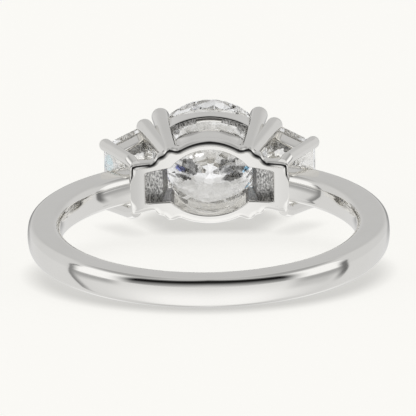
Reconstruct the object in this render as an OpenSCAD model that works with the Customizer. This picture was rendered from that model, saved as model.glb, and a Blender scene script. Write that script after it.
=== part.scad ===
// Three stone ring: a round brilliant between two tapered side stones, on a plain polished
// band. The ring lies on its side, as it rests by itself: on the back of the band and on the
// edge of the centre stone. The origin is the centre of the finger hole.
//
// It is drawn upright in its own plane, x along the row of stones, y out through the centre
// stone and z along the finger, and the whole ring is tipped by rest_tilt at the very end.

/* [Finger hole] */
// Inside diameter of the ring
bore_d = 16.5; // [14:0.1:22]

/* [Band] */
// Width of the band along the finger
band_w = 1.75; // [1.4:0.05:2.6]
// Thickness of the band at the back
band_back_t = 1.65; // [1.3:0.05:2.2]
// Thickness of the band where it meets the setting
band_head_t = 2.1; // [1.7:0.05:2.4]
// Rounding of the edges on the finger side
comfort_r = 0.5; // [0.1:0.05:0.6]
// Rounding of the outer edges
band_edge_r = 0.38; // [0.1:0.02:0.6]

/* [Centre stone] */
// Diameter of the round stone
centre_d = 6.9; // [6.4:0.1:7.4]
// Height of its girdle over the finger
centre_rise = 4.8; // [4.6:0.1:6]
// Diameter of the table as a share of the stone
table_share = 0.57; // [0.5:0.01:0.65]
// Slope of the crown in degrees
crown_slope = 34.5; // [30:0.5:38]
// Slope of the pavilion in degrees
pavilion_slope = 40.8; // [39:0.2:43]
// Thickness of the girdle of every stone
girdle_t = 0.16; // [0.14:0.02:0.3]

/* [Side stones] */
// Length of a side stone, from its inner to its outer edge
side_len = 3.3; // [2.8:0.1:3.6]
// Width of its inner edge
side_inner_w = 4.3; // [3.8:0.1:4.6]
// Width of its outer edge
side_outer_w = 3.5; // [3:0.1:4]
// Lean away from the centre stone in degrees
side_lean = 46; // [40:1:50]
// Distance of its outer edge from the middle of the ring
side_reach = 6.04; // [5.9:0.02:6.6]
// Height of its outer edge over the top of the finger
side_rise = 1.75; // [1.6:0.05:2.2]

/* [Plate on the finger] */
// Half length of the plate
plate_reach = 4.54; // [4.4:0.02:5]
// Thickness of the plate
plate_t = 0.68; // [0.5:0.02:0.9]
// Width under the centre stone
plate_w = 5.15; // [4.8:0.05:5.5]
// Width between the scallops
waist_w = 3; // [2.7:0.05:3.4]
// Width of the opening under the centre stone
well_w = 4; // [3.6:0.05:4.3]
// Width of the slots that run out under the side stones
slot_w = 2; // [1.6:0.05:2.2]
// Length from end to end of the slots
slot_len = 7.34; // [6.9:0.02:7.8]
// Depth of the slots
slot_depth = 1.1; // [0.8:0.05:1.2]

/* [Cup, rails and prongs] */
// Height of the cup over the finger
cup_rise = 2.2; // [1.8:0.05:2.6]
// Diameter of a centre prong
centre_prong_d = 1; // [0.8:0.02:1.1]
// Diameter of an inner prong of a side stone
inner_prong_d = 0.92; // [0.76:0.02:1.04]
// Diameter of an outer prong of a side stone
outer_prong_d = 0.7; // [0.6:0.02:0.86]
// Width of the rail under the centre stone
rail_w = 6.16; // [5.8:0.04:6.3]
// Height of that rail
rail_h = 1.5; // [1:0.05:1.6]
// Wall of all the rails
rail_t = 0.4; // [0.3:0.02:0.5]
// Height of the rails beside the side stones
side_rail_h = 0.7; // [0.5:0.05:1]

/* [Hidden] */
$fn = 64;
// Gap between each stone and the metal that holds it
seat_gap = 0.04;
// What runs on past a face where something is cut or joined
over = 1;
// Number of corners of the round stone's girdle
girdle_n = 32;

bore_r = bore_d / 2;
band_half = band_w / 2;
hoop_r = bore_r + (band_back_t + band_head_t) / 2;
hoop_shift = (band_head_t - band_back_t) / 2;

centre_r = centre_d / 2;
girdle_y = bore_r + centre_rise;
crown_h = (centre_r - centre_r * table_share) * tan(crown_slope);
pavilion_h = centre_r * tan(pavilion_slope);

side_axis = [sin(side_lean), cos(side_lean), 0];
side_out = [cos(side_lean), -sin(side_lean), 0];
side_outer = [side_reach, bore_r + side_rise, 0];
side_inner = side_outer - side_out * side_len;
side_mid = (side_outer + side_inner) / 2;
side_mean_w = (side_inner_w + side_outer_w) / 2;
side_crown_h = 0.12 * side_mean_w;
side_pavilion_h = 0.52 * side_mean_w;
side_taper = atan2((side_inner_w - side_outer_w) / 2, side_len);

plate_r = bore_r + plate_t;
cup_y = bore_r + cup_rise;
cup_r = 0.41 * centre_d;
well_top_r = cup_r - 0.37;
roof_y = sqrt(bore_r * bore_r - slot_len * slot_len / 4) + slot_depth;
lobe_r = 0.7 * plate_w;
rail_bow_r = 0.73 * rail_w;

// The ring lies on the rounded back edge of its band and on a flat of the girdle
flat_r = centre_r * cos(180 / girdle_n);
rest_run = girdle_y - girdle_t / 2 + hoop_r - hoop_shift - band_edge_r;
rest_drop = flat_r - (band_half - band_edge_r);
rest_tilt = atan2(rest_drop, rest_run) - asin(band_edge_r / norm([rest_run, rest_drop]));

// Copies on both sides of the centre stone, and on both sides of the finger
module both_sides() {
    children();
    mirror([1, 0, 0]) children();
}
module both_edges() {
    children();
    mirror([0, 0, 1]) children();
}

// Frames of the stones: z out through the table, x away from the middle of the ring
module at_centre_stone() {
    translate([0, girdle_y, 0]) rotate([-90, 0, 0]) children();
}
module at_side_stone() {
    translate(side_mid) rotate([0, 0, -side_lean]) rotate([-90, 0, 0]) children();
}

// A flat outline in x and z, raised along y from the middle of the ring
module raised(to_y) {
    rotate([-90, 0, 0]) linear_extrude(to_y) children();
}

// A rod between two points, with a round bead at its far end. The bead is a hair fuller
// than the rod, like the polished tip of a prong
module rod(from, to, d) {
    run = to - from;
    translate(from)
        rotate([0, acos(run[2] / norm(run)), atan2(run[1], run[0])])
            cylinder(h = norm(run), d = d);
    translate(to) sphere(d = 1.04 * d);
}

// The band: a disc with rounded rims, set a little towards the stones so that its back is
// the thinnest part, eased on the finger side and left out under the stones
module band() {
    flat = band_half - band_edge_r;
    land = band_half - comfort_r;
    difference() {
        translate([0, hoop_shift, 0]) rotate_extrude() {
            translate([0, -band_half]) square([hoop_r - band_edge_r, band_w]);
            translate([0, -flat]) square([hoop_r, 2 * flat]);
            for (side = [-1, 1])
                translate([hoop_r - band_edge_r, side * flat]) circle(r = band_edge_r);
        }
        both_edges() rotate_extrude() difference() {
            translate([bore_r - over, land]) square([over + comfort_r, comfort_r + over]);
            translate([bore_r + 0.96 * comfort_r, land]) circle(r = comfort_r);
        }
        translate([0.3 - plate_reach, 0, -band_w])
            cube([2 * plate_reach - 0.6, 2 * hoop_r, 2 * band_w]);
    }
}

// A shallow lens, the shape of the plate and of its opening under the centre stone
module lens(width, arc_r) {
    intersection_for(side = [-1, 1])
        translate([0, side * (width / 2 - arc_r)]) circle(r = arc_r);
}

// Plate on the finger: a lens under the centre stone, a scallop at the foot of each prong,
// a waist beside them and square ends where the band comes in
module plate() {
    foot_x = 0.42 * plate_w;
    foot_z = 0.34 * plate_w;
    end_r = 0.34;
    intersection() {
        raised(plate_r + over) {
            intersection() {
                lens(plate_w, lobe_r);
                square([0.74 * plate_w, plate_w], center = true);
            }
            square([2 * plate_reach, waist_w], center = true);
            for (x = [-1, 1], z = [-1, 1]) {
                translate([x * foot_x, z * foot_z]) circle(r = 0.5);
                translate([x * (foot_x + 0.53), z * (foot_z - 0.33)]) circle(r = 0.48);
                translate([x * (plate_reach - end_r), z * (waist_w / 2 - 0.21)])
                    circle(r = end_r);
            }
        }
        cylinder(r = plate_r, h = 2 * plate_w, center = true);
    }
}

// Cup under the centre stone: the lens carried up in two steps, each a little wider
module cup() {
    step_h = (cup_rise - plate_t) / 2;
    for (i = [1, 2]) raised(plate_r + i * step_h) intersection() {
        lens(plate_w + 0.08 * i, lobe_r + 0.04 * i);
        circle(r = cup_r);
    }
}

// Box over the slots, whose ends are the roof that the side stones look down on. Its middle
// rises to the rim of the cup
module slot_box() {
    linear_extrude(slot_w + 0.6, center = true) polygon([
        [0.1 - plate_reach, 0], [plate_reach - 0.1, 0],
        [plate_reach - 0.1, roof_y + 0.4], [well_top_r + 0.55, roof_y + 0.4],
        [well_top_r + 0.3, cup_y], [-well_top_r - 0.3, cup_y],
        [-well_top_r - 0.55, roof_y + 0.4], [0.1 - plate_reach, roof_y + 0.4]]);
}

// What is open from the finger side: a lens shaped well that turns round and wider towards
// the centre stone, and a slot at each end, closed by its roof
module well() {
    raised(cup_y + over) intersection() {
        lens(well_w, lobe_r - (plate_w - well_w) / 2);
        square([well_w + 0.4, well_w], center = true);
    }
    rotate([-90, 0, 0]) translate([0, 0, bore_r])
        cylinder(r1 = 0.47 * well_w, r2 = well_top_r, h = cup_rise + 0.01);
    intersection() {
        raised(cup_y + over) polygon([
            [-slot_len / 2, -0.46 * slot_w], [0, -0.6 * slot_w], [slot_len / 2, -0.46 * slot_w],
            [slot_len / 2, 0.46 * slot_w], [0, 0.6 * slot_w], [-slot_len / 2, 0.46 * slot_w]]);
        linear_extrude(2 * slot_w, center = true) polygon([
            [-slot_len / 2, 0], [slot_len / 2, 0], [slot_len / 2, roof_y],
            [well_top_r + 0.25, roof_y], [well_top_r - 0.15, cup_y + over],
            [0.15 - well_top_r, cup_y + over], [-well_top_r - 0.25, roof_y],
            [-slot_len / 2, roof_y]]);
    }
}

// Rail under the girdle of the centre stone, bowed from prong to prong
module centre_rail() {
    rail_y = girdle_y - girdle_t / 2 - (centre_r - rail_w / 2) * tan(pavilion_slope);
    difference() {
        translate([0, rail_y - rail_h, 0]) raised(rail_h + 0.2) centre_rail_outline(0);
        translate([0, rail_y - rail_h - over, 0])
            raised(rail_h + 2 * over) centre_rail_outline(rail_t);
    }
}
module centre_rail_outline(inset) {
    intersection_for(turn = [0, 90])
        rotate(turn) lens(rail_w - 2 * inset, rail_bow_r - inset);
}

// Prongs of the centre stone: four rods that spread from the plate to the girdle
prong_turn = 38.6;
prong_tip_r = centre_r + 0.22;
prong_foot_r = 0.54 * plate_w;
module centre_prong() {
    rod([prong_foot_r * cos(prong_turn), bore_r + 0.1, prong_foot_r * sin(prong_turn)],
        [prong_tip_r * cos(prong_turn), girdle_y + 0.4, prong_tip_r * sin(prong_turn)],
        centre_prong_d);
}

// Prongs of a side stone: each rises from the plate to a corner of the stone
module side_prongs() {
    inner_corner = side_inner + [0, 0, side_inner_w / 2];
    outer_corner = side_outer + [0, 0, side_outer_w / 2];
    end_foot = [plate_reach, bore_r - 0.41, waist_w / 2 + 0.1];
    rod([0.46 * plate_w, bore_r + 0.1, 0.32 * plate_w],
        inner_corner - 0.22 * side_axis + 0.25 * side_out, inner_prong_d);
    rod(end_foot - [0.45, 0.7, 0.35], end_foot, outer_prong_d);
    rod(end_foot, outer_corner - 0.07 * side_axis + [0, 0, 0.05], outer_prong_d);
}

// Rail beside a side stone, under its girdle and between its two prongs
module side_rail() {
    top = 0.18;
    translate(side_mid) rotate([0, 0, -side_lean]) translate([0.12, 0, side_mean_w / 2])
        rotate([0, side_taper, 0]) rotate([0, 90, 0]) linear_extrude(0.84 * side_len, center = true)
            polygon([[0.1, -top], [0.1 + rail_t, -top], [0.38 + rail_t, -top - side_rail_h],
                [0.38, -top - side_rail_h]]);
}

// Clearance of the centre stone: its round envelope, grown by the seat gap
module centre_seat() {
    grown_r = centre_r + seat_gap;
    at_centre_stone() {
        cylinder(r = grown_r, h = girdle_t + 2 * seat_gap, center = true);
        translate([0, 0, girdle_t / 2 + seat_gap])
            cylinder(r1 = grown_r, r2 = grown_r - crown_h / tan(crown_slope), h = crown_h);
        translate([0, 0, -girdle_t / 2 - seat_gap - pavilion_h])
            cylinder(r1 = seat_gap, r2 = grown_r, h = pavilion_h);
    }
}

module band_and_setting() {
    color("silver") difference() {
        union() {
            band();
            plate();
            cup();
            slot_box();
            centre_rail();
            both_sides() both_edges() {
                centre_prong();
                side_prongs();
                side_rail();
            }
        }
        cylinder(r = bore_r, h = 4 * plate_w, center = true);
        well();
        centre_seat();
        both_sides() at_side_stone() side_cut(seat_gap);
    }
}

// Round brilliant: a table, 8 stars, 8 bezels, 16 upper and 16 lower girdle facets and 8
// pavilion mains. Every facet is flat, so the edge of the girdle dips between its corners
module centre_cut() {
    table_r = centre_r * table_share;
    half_turn = 22.5;
    dip = 1 - cos(half_turn / 2);
    star_r = (table_r * cos(half_turn) + centre_r) / 2;
    star_h = crown_h * (centre_r - star_r * cos(half_turn)) / (centre_r - table_r);
    lower_r = 0.22 * centre_r;
    lower_h = pavilion_h * (centre_r - lower_r * cos(half_turn)) / centre_r;
    upper_dip = star_h * dip * centre_r / ((centre_r - star_r) * cos(half_turn / 2));
    lower_dip = lower_h * dip * centre_r / ((centre_r - lower_r) * cos(half_turn / 2));
    points = concat(
        [for (i = [0:31]) ring_point(centre_r, i * 11.25, girdle_t / 2 - (i % 2) * upper_dip)],
        [for (i = [0:31]) ring_point(centre_r, i * 11.25, (i % 2) * lower_dip - girdle_t / 2)],
        [for (i = [0:7]) ring_point(table_r, i * 45, girdle_t / 2 + crown_h)],
        [for (i = [0:7]) ring_point(star_r, i * 45 + half_turn, girdle_t / 2 + star_h)],
        [for (i = [0:7]) ring_point(lower_r, i * 45 + half_turn, -girdle_t / 2 - lower_h)],
        [[0, 0, -girdle_t / 2 - pavilion_h]]);
    upper = 0;
    lower = 32;
    table = 64;
    star = 72;
    half = 80;
    culet = 88;
    girdle_faces = [for (i = [0:31]) let (j = (i + 1) % 32) [upper + i, upper + j, lower + j, lower + i]];
    crown_faces = [for (i = [0:7]) let (j = (i + 1) % 8, g = 4 * i, e = 4 * j) each [
        [table + i, table + j, star + i],
        [table + j, star + j, upper + e, star + i],
        [star + i, upper + g + 2, upper + g + 1, upper + g],
        [star + i, upper + e, upper + g + 3, upper + g + 2]]];
    pavilion_faces = [for (i = [0:7]) let (j = (i + 1) % 8, g = 4 * i, e = 4 * j) each [
        [half + i, lower + g, lower + g + 1, lower + g + 2],
        [half + i, lower + g + 2, lower + g + 3, lower + e],
        [culet, half + i, lower + e, half + j]]];
    polyhedron(points, concat([[for (i = [7:-1:0]) table + i]],
        girdle_faces, crown_faces, pavilion_faces));
}
function ring_point(r, turn, height) = [r * cos(turn), r * sin(turn), height];

// Tapered side stone: a table, a crown in two tiers and a pavilion of five facets a side,
// drawn a little larger where it serves to cut its own seat
module side_cut(grow) {
    deep = -girdle_t / 2 - grow;
    lower = side_ring(1, deep, grow);
    belly = side_ring(0.62, deep - 0.55 * side_pavilion_h, grow);
    points = concat(
        side_ring(0.62, side_crown_h - deep, grow),
        side_ring(0.82, 0.65 * side_crown_h - deep, grow),
        side_ring(1, -deep, grow),
        lower,
        belly,
        [for (i = [0:3]) let (m = (belly[i] + belly[(i + 1) % 4]) / 2) [1.08 * m[0], 1.08 * m[1], m[2]]],
        [[0, 0, deep - side_pavilion_h]]);
    tiers = [for (a = [0, 4, 8], i = [0:3]) let (j = (i + 1) % 4) [a + i, a + j, a + 4 + j, a + 4 + i]];
    pavilion = [for (i = [0:3]) let (j = (i + 1) % 4) each [
        [12 + i, 12 + j, 20 + i], [12 + i, 20 + i, 16 + i], [12 + j, 16 + j, 20 + i],
        [16 + i, 20 + i, 24], [20 + i, 16 + j, 24]]];
    polyhedron(points, concat([[3, 2, 1, 0]], tiers, pavilion));
}
function side_ring(share, height, grow) =
    let (fuller = share * (1 + 2 * grow / side_len),
        reach = fuller * side_len / 2,
        inner = fuller * side_inner_w / 2,
        outer = fuller * side_outer_w / 2)
    [[-reach, -inner, height], [reach, -outer, height], [reach, outer, height], [-reach, inner, height]];

module centre_stone() {
    color("white") at_centre_stone() rotate(180 / girdle_n) centre_cut();
}
module side_stone_left() {
    color("white") mirror([1, 0, 0]) at_side_stone() side_cut(0);
}
module side_stone_right() {
    color("white") at_side_stone() side_cut(0);
}

module resting() {
    rotate([rest_tilt, 0, 0]) children();
}

resting() band_and_setting();
resting() centre_stone();
resting() side_stone_left();
resting() side_stone_right();
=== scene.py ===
import bpy
import numpy as np
from mathutils import Matrix


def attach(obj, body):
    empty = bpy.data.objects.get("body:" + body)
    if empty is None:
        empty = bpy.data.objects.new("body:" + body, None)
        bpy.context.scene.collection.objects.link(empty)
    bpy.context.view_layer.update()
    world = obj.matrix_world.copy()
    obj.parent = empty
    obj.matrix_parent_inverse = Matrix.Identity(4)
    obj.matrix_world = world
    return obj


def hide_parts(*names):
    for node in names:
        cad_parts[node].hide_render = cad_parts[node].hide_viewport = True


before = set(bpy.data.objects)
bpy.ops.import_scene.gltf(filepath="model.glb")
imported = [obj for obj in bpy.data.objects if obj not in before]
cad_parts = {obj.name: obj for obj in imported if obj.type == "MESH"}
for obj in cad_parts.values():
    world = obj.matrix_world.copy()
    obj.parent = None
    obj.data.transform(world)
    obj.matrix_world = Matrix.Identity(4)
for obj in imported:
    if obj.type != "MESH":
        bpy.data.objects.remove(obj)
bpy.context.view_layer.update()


# ---------------------------------------------------------------- viewpoint
# The ring lies on its side with the back of the band nearest. The lens is long and stands
# a little above it, so the inside of the setting shows through the finger hole.

REST_TILT = np.radians(6.48372599576678)      # how far the ring leans on its stone at rest
VIEW_RISE = np.radians(20.11)                 # height of the lens over the ring's own plane
VIEW_ROLL = np.radians(-0.984)                # the lens leans this far about its own line
RING_TURN = np.radians(0.74)                  # the stones point this far to the right
VIEW_DISTANCE = 262.9                         # millimetres from the middle of the hoop
LENS, SENSOR = 407.2, 36.0                    # millimetres, for the width of the picture
PICTURE_SIDE = 416.0                          # points across the square picture
SHIFT_RIGHT, SHIFT_UP = -0.61, 24.26          # points the picture is moved within its frame

across = np.array([1.0, 0.0, 0.0])
upward = np.array([0.0, np.sin(VIEW_RISE), np.cos(VIEW_RISE)])
backward = np.array([0.0, -np.cos(VIEW_RISE), np.sin(VIEW_RISE)])
view_right = np.cos(VIEW_ROLL) * across + np.sin(VIEW_ROLL) * upward
view_up = np.cos(VIEW_ROLL) * upward - np.sin(VIEW_ROLL) * across


def lay_down(points):
    """Points of the upright ring, x along the stones, y out through the centre stone and z
    along the finger, in millimetres, tipped by the rest tilt about x and given in metres."""
    x, y, z = np.moveaxis(np.asarray(points, float), -1, 0)
    return 0.001 * np.stack([x, y * np.cos(REST_TILT) - z * np.sin(REST_TILT),
                             y * np.sin(REST_TILT) + z * np.cos(REST_TILT)], axis=-1)


def turn_about_finger(direction):
    """A direction seen from the lens, turned into the ring's own axes by the ring's turn."""
    x, y, z = direction
    return np.array([x * np.cos(RING_TURN) - y * np.sin(RING_TURN),
                     x * np.sin(RING_TURN) + y * np.cos(RING_TURN), z])


camera_data = bpy.data.cameras.new("lens")
camera_data.lens = LENS
camera_data.sensor_width = SENSOR
camera_data.shift_x = SHIFT_RIGHT / PICTURE_SIDE
camera_data.shift_y = SHIFT_UP / PICTURE_SIDE
camera_data.clip_start, camera_data.clip_end = 0.01, 10.0
camera = bpy.data.objects.new("lens", camera_data)
bpy.context.scene.collection.objects.link(camera)
place = Matrix.Identity(4)
# A direction is laid down as a point is, and then given its own length back
for column, direction in enumerate((view_right, view_up, backward)):
    place.col[column][:3] = 1000 * lay_down(turn_about_finger(direction))
place.col[3][:3] = lay_down(turn_about_finger(VIEW_DISTANCE * backward))
camera.matrix_world = place
bpy.context.scene.camera = camera


# ------------------------------------------------------------ table and light
# A white sheet of paper on a table, lit softly from all round: a pale tent, white strips at
# both sides, and the dark of the room behind the lens, which draws the black lines on every
# rounded edge of the polished metal.

FLOOR_HEIGHT = -0.001947                      # metres; the band's edge and the girdle rest here
TABLE_REACH = 1.5                             # metres to each side
PAPER, PAPER_FIBRE = (0.93, 0.922, 0.89, 1.0), (0.925, 0.917, 0.885, 1.0)
FIBRE_SCALE = 900.0
GLOW, GLOW_STRENGTH = (1.0, 0.99, 0.955, 1.0), 0.838     # the sheet is lit from beneath too
PAINTED_SHADOW_GLOW = (0.7, 0.693, 0.669, 1.0)        # painted shadow: what is left of the glow close under the ring
PAINTED_SHADOW_REACH = 0.0013                         # metres over which the ring's nearness paints that shadow
PAINTED_SHADOW_OPEN = 0.45                            # how much of the sky the closest corners see, where the painted shadow is darkest


def grey(level):
    """Linear strength of a screen grey between 0 and 255."""
    share = level / 255.0
    return share / 12.92 if share <= 0.04045 else ((share + 0.055) / 1.055) ** 2.4


def add_node(tree, kind, inputs=None, **settings):
    """A new shader node of this kind with its settings. Each of its inputs is named, or
    counted, with its plain value or with the socket that feeds it."""
    node = tree.nodes.new("ShaderNode" + kind)
    for name, value in settings.items():
        setattr(node, name, value)
    for name, value in (inputs or {}).items():
        if isinstance(value, bpy.types.NodeSocket):
            tree.links.new(value, node.inputs[name])
        else:
            node.inputs[name].default_value = value
    return node


def colour_ramp(tree, factor, *stops):
    """The colour of a ramp between two stops, each a position and a colour."""
    node = add_node(tree, "ValToRGB", {"Fac": factor})
    for stop, (position, colour) in zip(node.color_ramp.elements, stops):
        stop.position, stop.color = position, colour
    return node.outputs["Color"]


def new_material(name, **sockets):
    """A material with the main shader's sockets set, its node tree and that shader."""
    material = bpy.data.materials.new(name)
    material.use_nodes = True
    shader = material.node_tree.nodes["Principled BSDF"]
    for socket, value in sockets.items():
        shader.inputs[socket.replace("_", " ")].default_value = value
    return material, material.node_tree, shader


def feed(shader, **sockets):
    """Links the sockets given to the shader's inputs of those names."""
    for socket, source in sockets.items():
        shader.id_data.links.new(source, shader.inputs[socket.replace("_", " ")])


floor_mesh = bpy.data.meshes.new("paper")
corners = [(x * TABLE_REACH, y * TABLE_REACH, FLOOR_HEIGHT)
           for x, y in ((-1, -1), (1, -1), (1, 1), (-1, 1))]
floor_mesh.from_pydata(corners, [], [(0, 1, 2, 3)])
floor = bpy.data.objects.new("paper", floor_mesh)
bpy.context.scene.collection.objects.link(floor)
floor.visible_glossy = False
floor.visible_transmission = False

paper, tree, shader = new_material("paper", Roughness=0.9, Specular_IOR_Level=0.0,
                                   Emission_Strength=GLOW_STRENGTH)
# The glow is darkened by the ring's nearness, as the occlusion reads it: a painted contact
# shadow on the sheet
near = add_node(tree, "AmbientOcclusion", {"Distance": PAINTED_SHADOW_REACH}, samples=16)
where = add_node(tree, "TexCoord").outputs["Object"]
fibres = add_node(tree, "TexNoise", {"Vector": where, "Scale": FIBRE_SCALE})
feed(shader, Emission_Color=colour_ramp(tree, near.outputs["AO"], (PAINTED_SHADOW_OPEN, PAINTED_SHADOW_GLOW),
                                        (1.0, GLOW)),
     Base_Color=colour_ramp(tree, fibres.outputs["Fac"], (0.0, PAPER_FIBRE), (1.0, PAPER)))
floor_mesh.materials.append(paper)

world = bpy.data.worlds.new("studio")
world.use_nodes = True
bpy.context.scene.world = world
studio = world.node_tree
studio.nodes.clear()


def studio_math(operation, *values):
    """A math node of the studio's light, fed by sockets or plain numbers."""
    return add_node(studio, "Math", dict(enumerate(values)), operation=operation).outputs[0]


def ramp_up(measure, start, end):
    """Rises smoothly from 0 at start to 1 at end, or falls where end is below start."""
    rises = float(start < end)
    ramp = add_node(studio, "MapRange", {
        "Value": measure, "From Min": min(start, end), "From Max": max(start, end),
        "To Min": 1 - rises, "To Max": rises}, interpolation_type="SMOOTHSTEP")
    return ramp.outputs["Result"]


def card(under, level, *edges, cover=1.0):
    """A card held over the light. Each edge names a measure of direction and the degrees
    between which the card fades in; cover is how much it hides of what lies under it. The
    card and what is under it are other lights, or plain numbers as screen greys."""
    for measure, start, end in edges:
        cover = studio_math("MULTIPLY", ramp_up(measure, start, end), cover)
    under, level = (grey(value) if isinstance(value, int) else value
                    for value in (under, level))
    laid = add_node(studio, "Mix", {"Factor": cover, "A": under, "B": level},
                    data_type="FLOAT")
    return laid.outputs["Result"]


# Degrees of height over the level of the table, and degrees round from straight behind the
# ring, to the right where they are positive
RADIAN = 57.2958                              # degrees
sky = add_node(studio, "TexCoord").outputs["Generated"]
split = add_node(studio, "SeparateXYZ", {0: sky}).outputs
height = studio_math("MULTIPLY", studio_math("ARCSINE", split["Z"]), RADIAN)
turned = studio_math("MULTIPLY", studio_math("ARCTAN2", split["X"], split["Y"]), RADIAN)
aside = studio_math("ABSOLUTE", turned)

# The tent: grey walls, duller behind, and a ceiling that darkens over the sides
light = card(209, 192, (aside, 50, 20), (height, 0, 30))
light = card(light, 196, (height, 44, 54))
light = card(light, 164, (height, 50, 60), (aside, 30, 46))
light = card(light, 188, (height, 68, 84))
# The room behind the lens, seen over the edge of the table and darkest well above it
off_centre = studio_math("SUBTRACT", 180.0, aside)
over_table = studio_math("ADD", height, studio_math("MULTIPLY", 0.3, off_centre))
over_room = studio_math("ADD", height, studio_math("MULTIPLY", 0.6, off_centre))
room = card(207, 145, (over_table, -8, 10))
room = card(room, 90, (over_table, 6, 22))
room = card(room, 48, (over_table, 18, 34))
room = card(room, 22, (over_room, 30, 44))
room = card(room, 105, (over_room, 56, 72))
room = card(room, 190, (over_room, 70, 88))
light = card(light, room, (aside, 112, 134))
# The table below: white in front of the ring and under it, grey at the sides and behind,
# with the shadow of the white strips on its edge
table = card(213, 250, (aside, 84, 160), (height, 8, -44))
table = card(table, 215, (aside, 86, 78))
table = card(table, 212, (height, -44, -58), (aside, 130, 105))
table = card(table, 250, (height, -30, -48), (aside, 50, 25))
table = card(table, 182, (turned, 88, 100), (turned, 132, 118), (height, -32, -20), cover=0.6)
table = card(table, 166, (height, -20, -10), (aside, 82, 90), (aside, 126, 112))
light = card(light, table, (height, -6.5, -8.5))
# The white strips at both sides, and the dark border of the tent's mouth beside them, which
# steps towards the strips above the table: one border on the left, a narrower on the right
light = card(light, 250, (aside, 85, 88), (aside, 134, 112), (height, -8.5, -6.5),
             (height, 54, 36))
mouth = studio_math("SUBTRACT", aside, studio_math("MULTIPLY", 4.0, ramp_up(height, -16, 0)))
light = card(light, 134, (mouth, 80, 81), (mouth, 90, 82), (height, -46, -28),
             (height, 36, 26), (turned, 10, -10))
light = card(light, 112, (mouth, 79.5, 81.5), (mouth, 91, 84), (height, -32, -16),
             (height, 30, 0), (turned, -10, 10))
# A grey board low behind the ring, which shades the inner sides of the prongs
light = card(light, 140, (aside, 30, 16), (height, -17, -8), (height, 14, 4))
# What the stones let through is paler, for they gather it from all round, with two dark
# cards before their tables for the contrast between facets
path = add_node(studio, "LightPath").outputs
in_stone = studio_math("GREATER_THAN", path["Transmission Depth"], 0.5)
gathered = card(249, 30, (aside, 10, 14), (aside, 44, 38), (height, 10, 14), (height, 56, 50))
light = card(light, gathered, cover=studio_math("MULTIPLY", in_stone, 0.9))
# The paper is lit by the lamp below and its own glow, so little of this light reaches it
FULL_LIGHT, KEPT_OFF_PAPER = 1.08, 0.98
on_paper = studio_math("GREATER_THAN", path["Diffuse Depth"], 0.5)
kept_off = studio_math("MULTIPLY", on_paper, KEPT_OFF_PAPER)
strength = studio_math("SUBTRACT", FULL_LIGHT, kept_off)
lamp = add_node(studio, "Background", {"Color": light, "Strength": strength})
add_node(studio, "OutputWorld", {"Surface": lamp.outputs[0]})
bpy.context.scene.view_settings.view_transform = "Standard"
# Light runs many times round inside a cut stone before it comes out
bpy.context.scene.cycles.max_bounces = 24
bpy.context.scene.cycles.glossy_bounces = 16
bpy.context.scene.cycles.transmission_bounces = 20

# A broad weak lamp above and behind the ring draws its short soft shadow on the paper
LAMP_POWER, LAMP_BREADTH, LAMP_LEAN = 0.2, np.radians(40), np.radians(-35)
overhead = bpy.data.lights.new("overhead", "SUN")
overhead.energy, overhead.angle = LAMP_POWER, LAMP_BREADTH
overhead_lamp = bpy.data.objects.new("overhead", overhead)
overhead_lamp.rotation_euler = (LAMP_LEAN, 0, 0)
bpy.context.scene.collection.objects.link(overhead_lamp)
overhead_lamp.visible_glossy = False
overhead_lamp.visible_transmission = False


# ---------------------------------------------------------------------- band
# The plain hoop of 14 carat white gold, cast with the setting and polished all over. Its
# edges are eased on the finger side and rounded outside; it thickens towards the stones,
# where it is soldered into the ends of the plate.

BORE = 8.25                                   # inside radius, in millimetres as all below
BAND_HALF = 0.875                             # half its width along the finger
BAND_OUTER = 10.125                           # radius of its outside, whose middle stands
BAND_SHIFT = 0.225                            # this far towards the stones
EASE, EASE_DROP = 0.5, 0.48                   # the finger-side edges: radius and depth
EDGE_ROUND = 0.38                             # radius of the edges outside
DOME = 0.05                                   # the outside is domed across
COMFORT = 0.03                                # and so is the finger side
DOME_TAIL = 0.1                               # each dome levels out in this much of the edge
BAND_END = 4.24                               # where the band meets the setting
CLEAN_TONE, CLOUDED_TONE = (1.0, 0.987, 0.958), (0.97, 0.957, 0.925)
CLOUD_SCALE, CLOUD_FROM, CLOUD_TO = 420.0, 0.3, 0.7
RUB_SPREAD = 0.05                             # how much rougher the cloud is in places
MARK_SCALE, MARK_STRENGTH = 5000.0, 0.012
MARK_DEPTH = 0.00002                          # metres
TABLE_SHADE = 0.62                            # painted shade: what the metal keeps of its grey close to the table, between these heights over it, in metres
SHADE_FROM, SHADE_TO = 0.0001, 0.00028        # between these heights over it, in metres
SHARP_EDGE = np.radians(40)                   # faces that meet at more than this look creased


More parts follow.
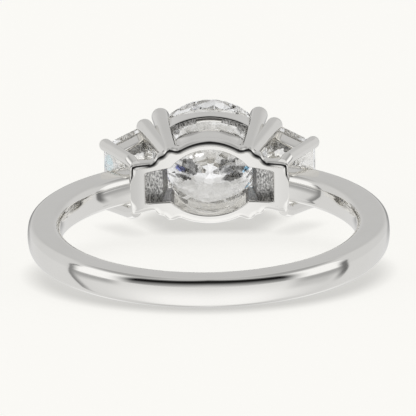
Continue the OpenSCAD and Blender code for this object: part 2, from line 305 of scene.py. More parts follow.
def polished_gold(name, tint=0.9, wear=0.05):
    """Polished white gold: a mirror whose grey is tint, with the faint cloud and fine wheel
    marks that polishing leaves, and painted shade on the last quarter of a millimetre over
    the table, where it would mirror its own shadow. All is read from object coordinates."""
    material, tree, shader = new_material(name, Metallic=1.0)
    place = add_node(tree, "TexCoord").outputs["Object"]
    cloud = add_node(tree, "TexNoise", {"Vector": place, "Scale": CLOUD_SCALE,
                                        "Detail": 3.0}).outputs["Fac"]
    clouded, clean = ([tint * part for part in tone] + [1]
                      for tone in (CLOUDED_TONE, CLEAN_TONE))
    over_table = add_node(tree, "SeparateXYZ", {0: place}).outputs["Z"]
    # Painted shade: the grey darkens close over the table, where the metal would mirror its own
    # shadow
    rest = add_node(tree, "MapRange", {
        "Value": over_table, "From Min": FLOOR_HEIGHT + SHADE_FROM,
        "From Max": FLOOR_HEIGHT + SHADE_TO, "To Min": TABLE_SHADE})
    shade = add_node(tree, "Mix", data_type="RGBA", blend_type="MULTIPLY", inputs={
        "Factor": 1.0, "B": rest.outputs["Result"],
        "A": colour_ramp(tree, cloud, (CLOUD_FROM, clouded), (CLOUD_TO, clean))})
    rub = add_node(tree, "MapRange", {"Value": cloud, "To Min": wear,
                                      "To Max": wear + RUB_SPREAD})
    marks = add_node(tree, "TexNoise", {"Vector": place, "Scale": MARK_SCALE, "Detail": 2.0})
    bump = add_node(tree, "Bump", {"Height": marks.outputs["Fac"],
                                   "Strength": MARK_STRENGTH, "Distance": MARK_DEPTH})
    feed(shader, Base_Color=shade.outputs["Result"], Roughness=rub.outputs["Result"],
         Normal=bump.outputs["Normal"])
    return material


def skin(name, rows, material, ring=False):
    """A closed skin over rows of points, as a piece that takes the place of the cast metal.
    Each row is a closed loop, and the rows close on each other as a ring, or else the first
    and the last row are each drawn together to a point."""
    rows = np.asarray(rows, float)
    count, around = rows.shape[:2]
    points = rows.reshape(-1, 3)
    row, column = np.meshgrid(np.arange(count if ring else count - 1), np.arange(around),
                              indexing="ij")
    below, beside = (row + 1) % count, (column + 1) % around
    quads = np.stack([row * around + column, row * around + beside,
                      below * around + beside, below * around + column], -1).reshape(-1, 4)
    faces = quads.tolist()
    if not ring:
        points = np.concatenate([points, rows[:1].mean(1), rows[-1:].mean(1)])
        edge = np.arange(around)
        after = (edge + 1) % around
        last_row, start, end = (count - 1) * around, count * around, count * around + 1
        faces += np.stack([after, edge, np.full(around, start)], -1).tolist()
        faces += np.stack([edge + last_row, after + last_row, np.full(around, end)],
                          -1).tolist()
    mesh = bpy.data.meshes.new(name)
    mesh.from_pydata(lay_down(points).tolist(), [], faces)
    mesh.validate()
    # The tetrahedra from the origin to each triangle add up to less than nothing where the
    # skin is inside out
    corners = np.empty(len(mesh.vertices) * 3)
    mesh.vertices.foreach_get("co", corners)
    corners = corners.reshape(-1, 3)
    mesh.calc_loop_triangles()
    triangles = np.empty(len(mesh.loop_triangles) * 3, int)
    mesh.loop_triangles.foreach_get("vertices", triangles)
    a, b, c = corners[triangles.reshape(-1, 3).T]
    if (np.cross(a, b) * c).sum() < 0:
        mesh.flip_normals()
    mesh.shade_smooth()
    mesh.set_sharp_from_angle(angle=SHARP_EDGE)
    mesh.materials.append(material)
    piece = bpy.data.objects.new(name, mesh)
    bpy.context.scene.collection.objects.link(piece)
    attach(piece, "root")
    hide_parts("band_and_setting")
    return piece


def arc(start, end, count):
    """Cosine and sine of evenly spaced angles in degrees from start to end."""
    angle = np.radians(np.linspace(start, end, count))
    return np.cos(angle), np.sin(angle)


polish = polished_gold("polished_white_gold")

# Half of the band's section, from the middle of the finger side to the middle of the outside:
# how far each point stands over the bore or under the outside, and how far from the middle.
# The eased edge meets the bore at a slight angle, the one outside runs on without any
land = BAND_HALF - EASE
flat = BAND_HALF - EDGE_ROUND
finger_side = [(0.0, share * land) for share in (0.0, 0.2, 0.4, 0.6, 0.8, 0.97)]
finger_side += [(max(EASE_DROP + EASE * sine, 0.0), land + EASE * cosine)
                for cosine, sine in zip(*arc(-90, 0, 13))]
outside = [(EDGE_ROUND * (1 - sine), flat + EDGE_ROUND * cosine)
           for cosine, sine in zip(*arc(0, 90, 13))]
outside += [(0.0, share * flat) for share in (0.97, 0.85, 0.6, 0.4, 0.2, 0.0)]
finger_side, outside = np.array(finger_side), np.array(outside)


def domed(aside, half, rise):
    """Fall of a dome across the band: rise times the square of the distance from the middle
    over half, and beyond half a tail of the same slope that levels out exponentially."""
    inner = np.minimum(aside / half, 1)
    tail = 1 - np.exp(-np.maximum(aside - half, 0) / DOME_TAIL)
    return rise * (inner ** 2 + 2 * DOME_TAIL / half * tail)


outside[:, 0] += domed(outside[:, 1], flat, DOME)
finger_side[:, 0] += domed(finger_side[:, 1], land, COMFORT)

# Stations round the hoop as shares of the way, closer to each other near both ends
HOOP_STATIONS = 361
turn = np.pi * np.linspace(0, 1, HOOP_STATIONS)
turn = 0.5 - 0.5 * np.cos(turn) * (1 - 0.25 * np.sin(turn) ** 2)


def hoop_line(over_bore, under_outside, aside):
    """One line along the band: a circle over the bore, or under the outside, that runs from
    the flat end at one side of the setting round the back to the other end. Its radius at
    an angle from the stones is the bore's, or else the distance to a circle whose middle
    stands off by the shift: shift times cosine plus the root of the outer radius squared
    less the square of shift times sine."""
    def radius(angle):
        if over_bore is not None:
            return np.full_like(angle, BORE + over_bore)
        outer, off = BAND_OUTER - under_outside, BAND_SHIFT * np.sin(angle)
        return BAND_SHIFT * np.cos(angle) + np.sqrt(outer ** 2 - off ** 2)
    # The angle of the end depends on the radius there: a few rounds from a guess settle it
    start = np.array([0.45])
    for _ in range(6):
        start = np.arcsin(BAND_END / radius(start))
    angle = start + turn * (2 * np.pi - 2 * start)
    r = radius(angle)
    return np.stack([r * np.sin(angle), r * np.cos(angle), np.full_like(angle, aside)], -1)


lines = [hoop_line(up, None, z) for up, z in finger_side]
inner_line = hoop_line(finger_side[-1][0], None, BAND_HALF)
outer_line = hoop_line(None, outside[0][0], BAND_HALF)
lines += [inner_line + share * (outer_line - inner_line) for share in (0.2, 0.4, 0.6, 0.8)]
lines += [hoop_line(None, down, z) for down, z in outside]
mirrored = [line * np.array([1, 1, -1]) for line in lines[-2:0:-1]]
band_rows = np.stack(lines + mirrored, axis=1)
skin("band", band_rows, polish)


# ------------------------------------------------- plate, cup and slot roofs
# The gallery under the stones, cast in one with the band: a plate that lies on the finger
# with a scallop at the foot of each prong, a cup in two steps round the open well, and a
# slot at each end whose roof was left grainy as cast, and is darkened with painted shade.

PLATE_OUTER = 8.93                            # radius of its outer face
PLATE_HALF_LENGTH, PLATE_HALF_WIDTH = 4.54, 1.5
PLATE_CORNER = 0.3                            # radius of the bar's corners
LENS_WIDTH, LENS_BOW = 5.15, 3.605            # the bows beside the centre stone
LENS_HALF = 1.906                             # where they are cut off
SCALLOPS = ((2.163, 1.751, 0.5), (2.693, 1.421, 0.48), (4.2, 1.29, 0.34))  # x, z, radius
CUP_WIDENS, CUP_BOWS = 0.08, 0.04             # what the cup's bows gain with each step
CUP_RADIUS = 2.829                            # it is round towards the side stones
ROOF, ROOF_TOP = 8.489, 8.889                 # ceiling of the slots and top of their roofs
ROOF_HALF_LENGTH, ROOF_HALF_WIDTH = 4.44, 1.3
CUP_HALVES = (3.009, 2.884, 2.759)            # how far the roof's ends reach up the cup
STEP, CUP_TOP = 9.69, 10.45                   # heights of the cup's step and of its rim
LEAN = 0.08                                   # the cup narrows this much towards its rim
WELL_FOOT, WELL_TOP = 1.88, 2.459             # radii of the well at the finger and on top
WELL_WIDTH, WELL_BOW, WELL_HALF = 4.0, 3.03, 2.2
SLOT_END = 3.67
SLOT_HALF_WIDTH, SLOT_NARROWS = 1.2, 0.0763   # the half width falls off by this slope
SLOT_WALL, WALL_LEAN, WALL_TOP = 2.709, 0.135, 2.44      # where the slots end over the roof
EDGE, FLUSH_EDGE = 0.36, 0.02                 # rounding of the plate's finger-side edge,
FLUSH_X, FLUSH_X_FADE = 4.3, 0.2              # the lesser past this x, over this fade,
FLUSH_Z, FLUSH_Z_FADE = 0.95, 0.4             # and within this z
LIP = 0.07                                    # rounding of the opening's edge
RIM = 0.06                                    # rounding of the well's edge on top
SOFT = 0.1                                    # rounding of all the other edges
WEB = 0.05                                    # fill in the corners between forms
SLIT = 0.03                                   # least distance between two lines of the skin
STREAK_SCALE, STREAK_LENGTH = 16000.0, 0.4
# The dark of the grain is painted shade, where the slots and the rail's underside lie in shadow
GRAIN_AND_SHADE_DARK, GRAIN_PALE = (0.12, 0.12, 0.117, 1), (0.95, 0.94, 0.92, 1)
GRAIN_FROM, GRAIN_TO, GRAIN_STRENGTH = 0.38, 0.6, 0.5
GRAIN_DEPTH = 0.00004                         # metres
AS_CAST_ROUGHNESS = 0.42
IN_SLOT, BESIDE_WELL = 0.5, 0.33              # sines of angles off the line of the slots
SEAM_FROM, SEAM_CORNER = 3.35, 4.42           # x of the seam's start and of the plate's end
SEAM_SIDE, SEAM_END = 1.3, 0.8                # least z of the seam before and past that end

theta = np.linspace(0, 2 * np.pi, 900, endpoint=False)
spokes = np.linspace(0.5, 6.0, 1101)


def lens_field(x, z, width, bow):
    """Distance outside a lens of two bows that is width across: the larger of the distances
    outside its two circles."""
    centre = width / 2 - bow
    return np.maximum(np.hypot(x, z - centre), np.hypot(x, z + centre)) - bow


def box_field(x, z, half_x, half_z):
    """Distance outside a rectangle, negative inside."""
    dx, dz = np.abs(x) - half_x, np.abs(z) - half_z
    return np.hypot(np.maximum(dx, 0), np.maximum(dz, 0)) + np.minimum(np.maximum(dx, dz), 0)


def joined(first, second, soft):
    """The nearer of two distances, with the corner between them filled softly."""
    mix = np.maximum(soft - np.abs(first - second), 0) / soft
    return np.minimum(first, second) - mix * mix * soft / 4


def outline(field, level=0.0):
    """How far out from the middle, along each spoke, the field last reaches the level."""
    x = spokes[:, None] * np.cos(theta)
    z = spokes[:, None] * np.sin(theta)
    value = field(x, z) - level
    last = len(spokes) - 2 - np.argmax((value[:-1] <= 0)[::-1], axis=0)
    column = np.arange(len(theta))
    low, high = value[last, column], value[last + 1, column]
    return spokes[last] + (spokes[1] - spokes[0]) * low / (low - high)


def plate_field(x, z):
    """The plate: a lens under the centre stone, a bar to its ends and a round scallop at
    the foot of each prong."""
    middle = np.maximum(lens_field(x, z, LENS_WIDTH, LENS_BOW), np.abs(x) - LENS_HALF)
    bar = box_field(x, z, PLATE_HALF_LENGTH - PLATE_CORNER, PLATE_HALF_WIDTH - PLATE_CORNER)
    whole = joined(middle, bar - PLATE_CORNER, WEB)
    for foot_x, foot_z, r in SCALLOPS:
        whole = joined(whole, np.hypot(np.abs(x) - foot_x, np.abs(z) - foot_z) - r, WEB)
    return whole


def cup_field(step, roof_half):
    """The cup at one of its two steps, joined with the roof of the slots out to roof_half."""
    def field(x, z):
        bows = lens_field(x, z, LENS_WIDTH + CUP_WIDENS * step, LENS_BOW + CUP_BOWS * step)
        cup = np.maximum(bows, np.hypot(x, z) - CUP_RADIUS)
        return joined(cup, box_field(x, z, roof_half, ROOF_HALF_WIDTH), 2 * WEB)
    return field


def well_field(cone, slot_half):
    """The opening at one height: a lens, a circle that widens upwards and the slots, which
    narrow a little towards their ends."""
    def field(x, z):
        bows = np.maximum(lens_field(x, z, WELL_WIDTH, WELL_BOW), np.abs(x) - WELL_HALF)
        hole = np.minimum(bows, np.hypot(x, z) - cone)
        side = np.abs(z) - SLOT_HALF_WIDTH + SLOT_NARROWS * np.abs(x)
        return joined(hole, np.maximum(np.abs(x) - slot_half, side), WEB)
    return field


def cone_at(height):
    """Radius of the well at a height over the finger's middle."""
    return WELL_FOOT + (WELL_TOP - WELL_FOOT) * np.clip((height - BORE) / (CUP_TOP - BORE), 0, 1)


def along_spokes(out):
    """Points x and z that stand this far out along the spokes."""
    return np.stack([out * np.cos(theta), out * np.sin(theta)], -1)


def on_cylinder(radius, line):
    """Height of a cylinder about the finger over a line of points x and z."""
    return np.sqrt(radius ** 2 - line[:, 0] ** 2)


def softened(line, times):
    """The closed line with each point drawn to its neighbours, over and over."""
    for _ in range(times):
        line = (np.roll(line, 1, 0) + 2 * line + np.roll(line, -1, 0)) / 4
    return line


def drawn_in(line, by):
    """The closed line moved inwards along its own normals."""
    along = np.roll(line, -2, 0) - np.roll(line, 2, 0)
    along /= np.linalg.norm(along, axis=1)[:, None]
    return line - np.reshape(by, (-1, 1)) * np.stack([along[:, 1], -along[:, 0]], -1)


# The skin runs round the whole gallery in closed lines of points x and z with a height over
# the finger's middle for each: from the edge of the opening over the finger side of the
# plate, up the outside of the cup, over its rim and down the well and the slots
loops = []
quarter = list(zip(*arc(0, 90, 5)))
opening = softened(along_spokes(outline(well_field(WELL_FOOT, SLOT_END))), 3)
plate_line = softened(along_spokes(outline(plate_field)), 24)
# The edge sharpens to nothing where the band runs on flush from the plate
flush = np.clip((np.abs(plate_line[:, 0]) - FLUSH_X) / FLUSH_X_FADE, 0, 1) * np.clip(
    (FLUSH_Z - np.abs(plate_line[:, 1])) / FLUSH_Z_FADE, 0, 1)
edge = EDGE - (EDGE - FLUSH_EDGE) * softened(flush[:, None], 30)[:, 0]
for cosine, sine in quarter:
    line = drawn_in(opening, -LIP * (1 - cosine))
    loops.append((line, on_cylinder(BORE, line) + LIP * (1 - sine)))
face_from, face_to = drawn_in(opening, -LIP), drawn_in(plate_line, edge)
for share in (0.06, 0.2, 0.4, 0.6, 0.8, 0.94):
    line = face_from + share * (face_to - face_from)
    loops.append((line, on_cylinder(BORE, line)))
edge_start = len(loops)
for cosine, sine in zip(*arc(0, 90, 11)):
    line = drawn_in(plate_line, edge * (1 - sine))
    loops.append((line, on_cylinder(BORE, line) + edge * (1 - cosine)))
foot = on_cylinder(BORE, plate_line) + edge
brow = on_cylinder(PLATE_OUTER, plate_line) - SOFT
for share in (0.1, 0.5, 0.9):
    loops.append((plate_line, foot + share * (brow - foot)))
for cosine, sine in quarter:
    line = drawn_in(plate_line, SOFT * (1 - cosine))
    loops.append((line, on_cylinder(PLATE_OUTER, line) - SOFT * (1 - sine)))
shoulder = drawn_in(plate_line, SOFT)
roof_out = np.minimum(outline(cup_field(1, ROOF_HALF_LENGTH)),
                      np.linalg.norm(shoulder, axis=1) - SLIT)
roof_edge = along_spokes(roof_out)
for share in (0.1, 0.5, 0.9, 1.0):
    line = shoulder + share * (roof_edge - shoulder)
    loops.append((line, on_cylinder(PLATE_OUTER, line)))
side_out = np.minimum(outline(cup_field(1, CUP_HALVES[0])), roof_out)
roof_y = np.maximum(ROOF_TOP, on_cylinder(PLATE_OUTER, roof_edge) + SLIT)
bend = np.minimum(SOFT, roof_out - side_out)
for cosine, sine in quarter:
    loops.append((along_spokes(roof_out - bend * (1 - cosine)), roof_y - bend * (1 - sine)))
for share in (0.1, 0.5, 0.9, 1.0):
    loops.append((along_spokes(roof_out - bend + share * (side_out - roof_out + bend)),
                  roof_y + 0.01 * share))
step_in = outline(cup_field(1, CUP_HALVES[1]))
step_out = outline(cup_field(2, CUP_HALVES[1]))
for share in (0.1, 0.5, 0.95):
    loops.append((along_spokes(side_out + share * (step_in - side_out)),
                  roof_y + share * (STEP - roof_y)))
loops.append((along_spokes(step_out), np.full_like(theta, STEP + SLIT)))
rim_side = outline(cup_field(2, CUP_HALVES[2]), -LEAN)
loops.append((along_spokes((step_out + rim_side) / 2),
              np.full_like(theta, (STEP + CUP_TOP) / 2)))
for cosine, sine in quarter:
    loops.append((along_spokes(rim_side - SOFT * (1 - cosine)),
                  np.full_like(theta, CUP_TOP - SOFT * (1 - sine))))
rim_in = outline(well_field(WELL_TOP, WALL_TOP))
for cosine, sine in quarter[::-1]:
    loops.append((along_spokes(rim_in + RIM * (1 - cosine)),
                  np.full_like(theta, CUP_TOP - RIM * (1 - sine))))
wall_start = len(loops)
for height in np.linspace(CUP_TOP - 0.15, ROOF + 0.02, 9):
    wall = SLOT_WALL - WALL_LEAN * (height - ROOF)
    loops.append((along_spokes(outline(well_field(cone_at(height), wall))),
                  np.full_like(theta, height)))
roof_from = outline(well_field(cone_at(ROOF), SLOT_WALL))
roof_to = outline(well_field(cone_at(ROOF), SLOT_END))
for share in (0.0, 0.06, 0.35, 0.65, 0.94, 1.0):
    loops.append((along_spokes(roof_from + share * (roof_to - roof_from)),
                  np.full_like(theta, ROOF)))
ceiling_end = len(loops) - 1
low = on_cylinder(BORE, opening) + LIP
for share in (0.06, 0.5, 0.94):
    loops.append((opening, ROOF + share * (low - ROOF)))


def cast_grain_and_shade(name):
    """White gold as it came from the mould: rough and grey, drawn out in dark streaks of painted
    shade along the height of the wall, with coarse grains and pits."""
    material, tree, shader = new_material(name, Metallic=1.0, Roughness=AS_CAST_ROUGHNESS)
    place = add_node(tree, "TexCoord").outputs["Object"]
    stretch = add_node(tree, "Mapping", {"Vector": place, "Scale": (1.0, 1.0, STREAK_LENGTH)})
    streaks = add_node(tree, "TexNoise", {
        "Vector": stretch.outputs["Vector"], "Scale": STREAK_SCALE, "Detail": 4.0,
        "Roughness": 0.7}).outputs["Fac"]
    bump = add_node(tree, "Bump", {"Height": streaks, "Strength": GRAIN_STRENGTH,
                                   "Distance": GRAIN_DEPTH})
    feed(shader, Base_Color=colour_ramp(tree, streaks, (GRAIN_FROM, GRAIN_AND_SHADE_DARK),
                                        (GRAIN_TO, GRAIN_PALE)),
         Normal=bump.outputs["Normal"])
    return material


plate_rows = np.stack([np.stack([line[:, 0], height, line[:, 1]], -1)
                       for line, height in loops])
gallery = skin("plate_and_cup", plate_rows, polish, ring=True)
cast_grain_and_shade_gold = cast_grain_and_shade("white_gold_cast_grain_and_shade")
gallery.data.materials.append(cast_grain_and_shade_gold)
face_row, face_spoke = np.divmod(np.arange(len(gallery.data.polygons)), len(theta))
# The slots are as cast, and dark with painted shade, from well above the roof to its far
# end and beside the well down to the finger; each face is told by its row and by how far its
# spoke turns off the slots
off_slot = np.abs(np.sin(theta[face_spoke]))
in_slot = off_slot < IN_SLOT
cast_grain_and_shade_mask = in_slot & (face_row >= wall_start) & (face_row < ceiling_end)
beside_well = in_slot & (off_slot > BESIDE_WELL)
cast_grain_and_shade_mask |= beside_well & (face_row >= ceiling_end) & (face_row < ceiling_end + 3)
# A near-black metal paints the shade in the seam between the plate's ends and the prongs,
# on the upper side as the ring lies: painted shade over two rows of the plate's rounded edge
painted_seam_shade = polished_gold("painted_seam_shade", tint=0.05, wear=0.2)
gallery.data.materials.append(painted_seam_shade)
seam_x, seam_z = np.abs(plate_line[face_spoke, 0]), plate_line[face_spoke, 1]
in_painted_seam_shade = (seam_x > SEAM_FROM) & (seam_x < SEAM_CORNER) & (seam_z > SEAM_SIDE)
in_painted_seam_shade |= (seam_x > SEAM_CORNER) & (seam_z > SEAM_END)
in_painted_seam_shade &= (face_row >= edge_start + 3) & (face_row < edge_start + 5)
gallery.data.polygons.foreach_set("material_index", cast_grain_and_shade_mask + 2 * in_painted_seam_shade.astype(np.int32))


# ----------------------------------------------------------------- the rails
# A bowed rail runs from prong to prong under the centre stone, and a short leaning rail
# stands at each side of the side stones. All are cast with the setting and polished.

RAIL_WIDTH, RAIL_BOW = 6.16, 4.497            # the centre rail's sides, and their radius
RAIL_WALL = 0.4
RAIL_FOOT, RAIL_HEAD = 11.15, 12.82
RAIL_ROUND = 0.09                             # rounding of its edges
SEAT_HEIGHT, SEAT_RADIUS, SEAT_SLOPE = 12.93, 3.49, 0.8632
SEAT_GAP = 0.01                               # the rail stays this much under the seat
CAST_FROM, SEAM_TO = 0.8, 2.0                 # x where its underside and its painted dark edge start, end
SECTION_ROUND = 0.12                          # rounding of the side rails, lengthwise
SIDE_OFFSET, SIDE_ACROSS = 0.12, 1.95         # the side rails' middles from SIDE_MID


def rail_field(x, z):
    """A square with bowed sides: the largest of the distances outside four circles."""
    return np.maximum(lens_field(x, z, RAIL_WIDTH, RAIL_BOW),
                      lens_field(z, x, RAIL_WIDTH, RAIL_BOW))


def seat(out):
    """Height of the rail's top this far out: the cone of the centre stone's lower facets,
    or the rail's own head where that is lower."""
    return np.minimum(SEAT_HEIGHT - SEAT_SLOPE * (SEAT_RADIUS - out), RAIL_HEAD)


def rail_edge(inwards, down):
    """The rail's top line this far in from its outside, sunk by down under the seat."""
    out = outline(rail_field, -inwards)
    return out, seat(out) - down - SEAT_GAP


loops = []
sixth = list(zip(*arc(0, 90, 6)))
for cosine, sine in sixth:
    loops.append((outline(rail_field, -RAIL_ROUND * (1 - sine)),
                  RAIL_FOOT + RAIL_ROUND * (1 - cosine)))
outer = outline(rail_field)
for share in (0.08, 0.36, 0.64, 0.92):
    low = RAIL_FOOT + RAIL_ROUND
    loops.append((outer, low + share * (seat(outer) - RAIL_ROUND - low)))
for cosine, sine in sixth:
    loops.append(rail_edge(RAIL_ROUND * (1 - cosine), RAIL_ROUND * (1 - sine)))
for share in (0.2, 0.5, 0.8):
    loops.append(rail_edge(RAIL_ROUND + share * (RAIL_WALL - 2 * RAIL_ROUND), 0))
for cosine, sine in sixth[::-1]:
    loops.append(rail_edge(RAIL_WALL - RAIL_ROUND * (1 - cosine), RAIL_ROUND * (1 - sine)))
inner = outline(rail_field, -RAIL_WALL)
for share in (0.92, 0.64, 0.36, 0.08):
    loops.append((inner, low + share * (seat(inner) - RAIL_ROUND - low)))
underside_start = len(loops) + 1
for cosine, sine in sixth[::-1]:
    loops.append((outline(rail_field, -RAIL_WALL + RAIL_ROUND * (1 - sine)),
                  RAIL_FOOT + RAIL_ROUND * (1 - cosine)))
rail_rows = np.stack([np.stack([out * np.cos(theta), height + 0 * out,
                                out * np.sin(theta)], -1) for out, height in loops])
centre_rail = skin("centre_rail", rail_rows, polish, ring=True)
# Its underside, which no wheel reaches between the prongs, is left grainy as cast towards
# them and dark with painted shade, and its lower edge is painted dark as shade
centre_rail.data.materials.append(cast_grain_and_shade_gold)
centre_rail.data.materials.append(painted_seam_shade)
rail_row, rail_spoke = np.divmod(np.arange(len(centre_rail.data.polygons)), len(theta))
rail_x = np.abs(outer * np.cos(theta))[rail_spoke]
underside = (rail_row >= underside_start) & (rail_x > CAST_FROM)
lower_edge = (rail_row < 2) & (rail_x < SEAM_TO)
centre_rail.data.polygons.foreach_set("material_index",
                                      underside + 2 * lower_edge.astype(np.int32))

SIDE_MID = np.array([4.894, 11.187, 0.0])     # middle of a side stone's girdle
SIDE_OUT = np.array([0.6947, -0.7193, 0.0])   # its direction away from the centre stone
SIDE_AXIS = np.array([0.7193, 0.6947, 0.0])   # and the one through its table
TAPER = np.radians(6.91)                      # how much its sides close in outwards
SIDE_SECTION = np.array([(0.1, -0.18), (0.5, -0.18), (0.78, -0.88), (0.38, -0.88)])
# Stations along a side rail from its middle, and how full it is there
SIDE_STATIONS = ((-1.385, 0.6), (-1.36, 0.9), (-1.3, 1), (-0.4, 1),
                 (0.4, 1), (1.3, 1), (1.36, 0.9), (1.385, 0.6))


def rounded(corners, radius, count):
    """A closed outline through corners, each turned into an arc that starts and ends at the
    radius's distance from it: a quadratic curve with the corner as its middle point."""
    before, after = np.roll(corners, 1, 0), np.roll(corners, -1, 0)
    to_before = (before - corners) / np.linalg.norm(before - corners, axis=1)[:, None]
    to_after = (after - corners) / np.linalg.norm(after - corners, axis=1)[:, None]
    t = np.linspace(0, 1, count)[None, :, None]
    start, end = (corners + radius * to_before)[:, None], (corners + radius * to_after)[:, None]
    curves = (1 - t) ** 2 * start + 2 * t * (1 - t) * corners[:, None] + t ** 2 * end
    return curves.reshape(-1, 2)


section = rounded(SIDE_SECTION, SECTION_ROUND, 7)
centre = section.mean(0)
QUARTERS = (("left_front", -1, 1), ("left_back", -1, -1),
            ("right_front", 1, 1), ("right_back", 1, -1))
for place_name, sign_x, sign_z in QUARTERS:
    rows = []
    for along, shrink in SIDE_STATIONS:
        inset, up = ((section - centre) * shrink + centre).T
        out = along * np.cos(TAPER) - inset * np.sin(TAPER)
        z = -along * np.sin(TAPER) - inset * np.cos(TAPER)
        points = SIDE_MID + (out + SIDE_OFFSET)[:, None] * SIDE_OUT + up[:, None] * SIDE_AXIS
        points[:, 2] = z + SIDE_ACROSS
        rows.append(points * np.array([sign_x, 1, sign_z]))
    skin("rail_" + place_name, rows, polish)


# --------------------------------------------------------------- the prongs
# Twelve round wires of white gold: four that spread from the plate to the girdle of the
# centre stone, and four to each side stone, the outer ones with a bent foot. They are
# soldered into the plate, and their tips are domed over the stones' edges.

BEAD = 0.52                                   # radius of a tip, as a share of the diameter
SWELL = 1.6                                   # the wire swells to it over this many radii
WIRE_STATIONS, TIP_STATIONS, WIRE_SIDES = 32, 18, 72
# Of each kind: diameter, least distance from the finger hole, and both ends
PRONGS = {
    "centre_prong": (1.0, 0.36, [(2.173, 8.35, 1.735), (2.868, 13.45, 2.290)]),
    "inner_prong": (0.92, 0.36, [(2.369, 8.35, 1.648), (3.763, 12.04, 2.15)]),
    "outer_foot": (0.7, 0.2, [(4.09, 7.14, 1.25), (4.54, 7.84, 1.6)]),
    "outer_prong": (0.7, 0.2, [(4.54, 7.84, 1.6), (5.99, 9.95, 1.80)]),
}


def wire(start, end, diameter, clear):
    """A round wire from start to end: circles along a straight line, whose radius swells by
    a smooth step to a dome, a half ball, a hair fuller than the wire. What would come
    nearer than clear to the finger hole is pressed back into the plate."""
    start, end = np.array(start), np.array(end)
    length = np.linalg.norm(end - start)
    axis = (end - start) / length
    side = np.cross(axis, [0.0, 0.0, 1.0])
    side /= np.linalg.norm(side)
    other = np.cross(axis, side)
    radius, bead = diameter / 2, BEAD * diameter
    tip = np.radians(np.linspace(0, 88, TIP_STATIONS))
    shaft = np.linspace(0, length - 0.05 * bead, WIRE_STATIONS)
    swell = np.clip((shaft - length + SWELL * bead) / (SWELL * bead), 0, 1)
    along = np.concatenate([shaft, length + bead * np.sin(tip)])
    wide = np.concatenate([radius + (bead - radius) * swell ** 2 * (3 - 2 * swell),
                           bead * np.cos(tip)])
    t = np.linspace(0, 2 * np.pi, WIRE_SIDES, endpoint=False)
    circle = np.cos(t)[:, None] * side + np.sin(t)[:, None] * other
    points = start + along[:, None, None] * axis + wide[:, None, None] * circle
    from_finger = np.hypot(points[..., 0], points[..., 1])
    points[..., :2] *= (np.maximum(from_finger, BORE + clear) / from_finger)[..., None]
    return points


for name, (diameter, clear, (start, end)) in PRONGS.items():
    rows = wire(start, end, diameter, clear)
    for place_name, sign_x, sign_z in QUARTERS:
        skin(name + "_" + place_name, rows * np.array([sign_x, 1, sign_z]), polish)


# ---------------------------------------------------------------- the stones
# A round brilliant and two tapered side stones, colourless diamonds with every facet cut
# flat and polished. They are held by their prongs and stand a hair over the rails.

REFRACTION = 2.417
CLOUD_TONE, CLOUD_SIZE = (0.97, 0.975, 0.98, 1), 300.0
FACET_STEP = 0.04                             # normals this far apart belong to two facets
FACET_OFFSET = (0.0131, 0.0173, 0.0117)       # keeps the facets' normals between the steps
PAINTED_DARKEST_FACET, PAINTED_DARK_SHARES = 0.78, (0.12, 0.4)      # painted facet shade: the darkest facets, and how many are darkened
SPLINTER_SCALE = 4200.0
RAGGED = 0.6                                  # how far a spot's edge follows the splinters
SPOT_SKIN = 0.12                              # a spot fades over this share of its reach
# How bright the painted glints glow
PAINTED_FLASH_STRENGTH = 0.5
PAINTED_SHADE_DARK = (0.004, 0.004, 0.004, 1)
# Painted shade and fire, where the cut turns the light away or splits it: the middle of a
# spot on the facets and its reach, both in the upright ring's axes, its painted tint and how
# whole the splinters leave it. In turn: the painted shade over the lower half of the centre
# stone, two dark facets on its left and three on its right, its two blue fires and the one in
# the left side stone
PAINTED_FIRE_AND_SHADE = [((0, 11.3, -2.0), (2.9, 2.0, 1.75), (0.45, 0.44, 0.41, 1), 0.7),
        ((-1.17, 11.0, 0.0), (0.62, 0.8, 0.5), PAINTED_SHADE_DARK, 0.88),
        ((-1.58, 11.5, -0.75), (0.68, 0.7, 0.17), PAINTED_SHADE_DARK, 0.95),
        ((1.0, 10.85, 0.08), (0.7, 0.8, 0.46), (0.04, 0.04, 0.04, 1), 0.6),
        ((1.3, 11.2, -0.68), (0.8, 0.9, 0.3), PAINTED_SHADE_DARK, 0.95),
        ((1.75, 11.45, -0.3), (0.35, 0.5, 0.25), PAINTED_SHADE_DARK, 0.7),
        ((-1.72, 11.5, -0.24), (0.34, 0.45, 0.24), (0.1, 0.13, 0.6, 1), 0.9),
        ((2.1, 11.9, -0.44), (0.3, 0.22, 0.2), (0.1, 0.45, 0.85, 1), 0.9),
        ((-5.85, 9.4, 0.75), (0.35, 1.5, 0.5), (0.55, 0.85, 1.0, 1), 0.3)]
# The painted dark of the upper facets of the side stones, and of the centre stone's corners by
# the prongs
for sign in (-1, 1):
    PAINTED_FIRE_AND_SHADE += [((sign * 4.05, 10.4, 1.45), (0.95, 0.9, 0.5), PAINTED_SHADE_DARK, 0.62),
             ((sign * 2.0, 12.4, 1.95), (0.6, 0.4, 0.5), PAINTED_SHADE_DARK, 0.5)]
# Painted glints that glow where facets would send a lamp straight back as they turn: each spot
# and its reach
PAINTED_FLASHES = [((-1.0, 10.95, 0.64), (0.26, 0.5, 0.09)), ((-0.5, 10.88, 0.84), (0.3, 0.5, 0.09)),
         ((-4.11, 10.1, 1.05), (0.36, 0.4, 0.2)), ((4.06, 10.18, 1.1), (0.36, 0.4, 0.2))]


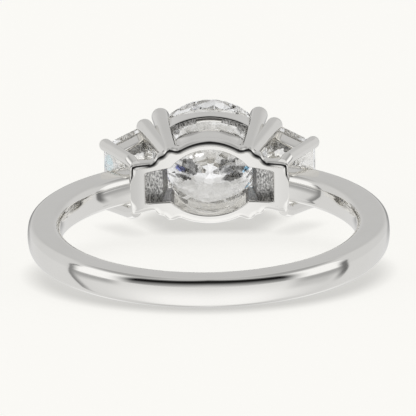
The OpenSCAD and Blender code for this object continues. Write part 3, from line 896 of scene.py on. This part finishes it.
def cut_diamond(name):
    """Clear diamond: full transmission at its own refraction, with the faintest cloud. Each
    facet has its own painted share of light, and splinters, the cells of a random mesh, break
    up the painted spots of shade and fire and the glowing painted flashes that stand for its
    play of light."""
    material, tree, shader = new_material(
        name, Transmission_Weight=1.0, IOR=REFRACTION, Roughness=0.0,
        Emission_Strength=PAINTED_FLASH_STRENGTH)
    place = add_node(tree, "TexCoord").outputs
    cloud = add_node(tree, "TexNoise", {"Vector": place["Object"], "Scale": CLOUD_SIZE})
    tone = colour_ramp(tree, cloud.outputs["Fac"], (0.0, CLOUD_TONE), (1.0, (1, 1, 1, 1)))
    # Each facet, known by the way it faces, takes its own painted share of light and shade
    facing = add_node(tree, "VectorMath", {0: place["Normal"], 1: FACET_OFFSET},
                      operation="ADD").outputs["Vector"]
    facet = add_node(tree, "VectorMath", {0: facing, 1: [FACET_STEP] * 3}, operation="SNAP")
    number = add_node(tree, "TexWhiteNoise", {"Vector": facet.outputs["Vector"]})
    glow = add_node(tree, "MapRange", {
        "Value": number.outputs["Value"], "From Min": PAINTED_DARK_SHARES[0],
        "From Max": PAINTED_DARK_SHARES[1], "To Min": PAINTED_DARKEST_FACET})
    colour = add_node(tree, "Mix", {"Factor": 1.0, "A": tone, "B": glow.outputs["Result"]},
                      data_type="RGBA", blend_type="MULTIPLY").outputs["Result"]
    splinters = add_node(tree, "TexVoronoi", {"Vector": place["Object"],
                                              "Scale": SPLINTER_SCALE}).outputs
    broken = add_node(tree, "SeparateColor", {"Color": splinters["Color"]}).outputs["Red"]
    ragged = add_node(tree, "Mix", {"Factor": RAGGED, "A": place["Object"],
                                    "B": splinters["Position"]}, data_type="VECTOR")

    def facets_near(spot, size):
        """1 inside an ellipsoid about the spot, falling to 0 at its skin."""
        reach = add_node(tree, "Mapping", vector_type="TEXTURE", inputs={
            "Vector": ragged.outputs["Result"], "Location": lay_down(spot),
            "Scale": [0.001 * part for part in size]}).outputs["Vector"]
        ball = add_node(tree, "TexGradient", {"Vector": reach}, gradient_type="SPHERICAL")
        return add_node(tree, "MapRange", {"Value": ball.outputs["Fac"],
                                           "From Max": SPOT_SKIN}).outputs["Result"]

    def combined(operation, first, second):
        """A math node over two sockets."""
        return add_node(tree, "Math", {0: first, 1: second}, operation=operation).outputs[0]

    for spot, size, tint, whole in PAINTED_FIRE_AND_SHADE:
        kept = add_node(tree, "MapRange", {"Value": broken, "To Min": whole})
        share = combined("MULTIPLY", facets_near(spot, size), kept.outputs["Result"])
        colour = add_node(tree, "Mix", {"Factor": share, "A": colour, "B": tint},
                          data_type="RGBA").outputs["Result"]
    flash = facets_near(*PAINTED_FLASHES[0])
    for spot, size in PAINTED_FLASHES[1:]:
        flash = combined("MAXIMUM", flash, facets_near(spot, size))
    feed(shader, Base_Color=colour, Emission_Color=flash)
    return material


diamond = cut_diamond("clear_diamond")
for name in ("centre_stone", "side_stone_left", "side_stone_right"):
    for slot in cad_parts[name].material_slots:
        slot.material = diamond
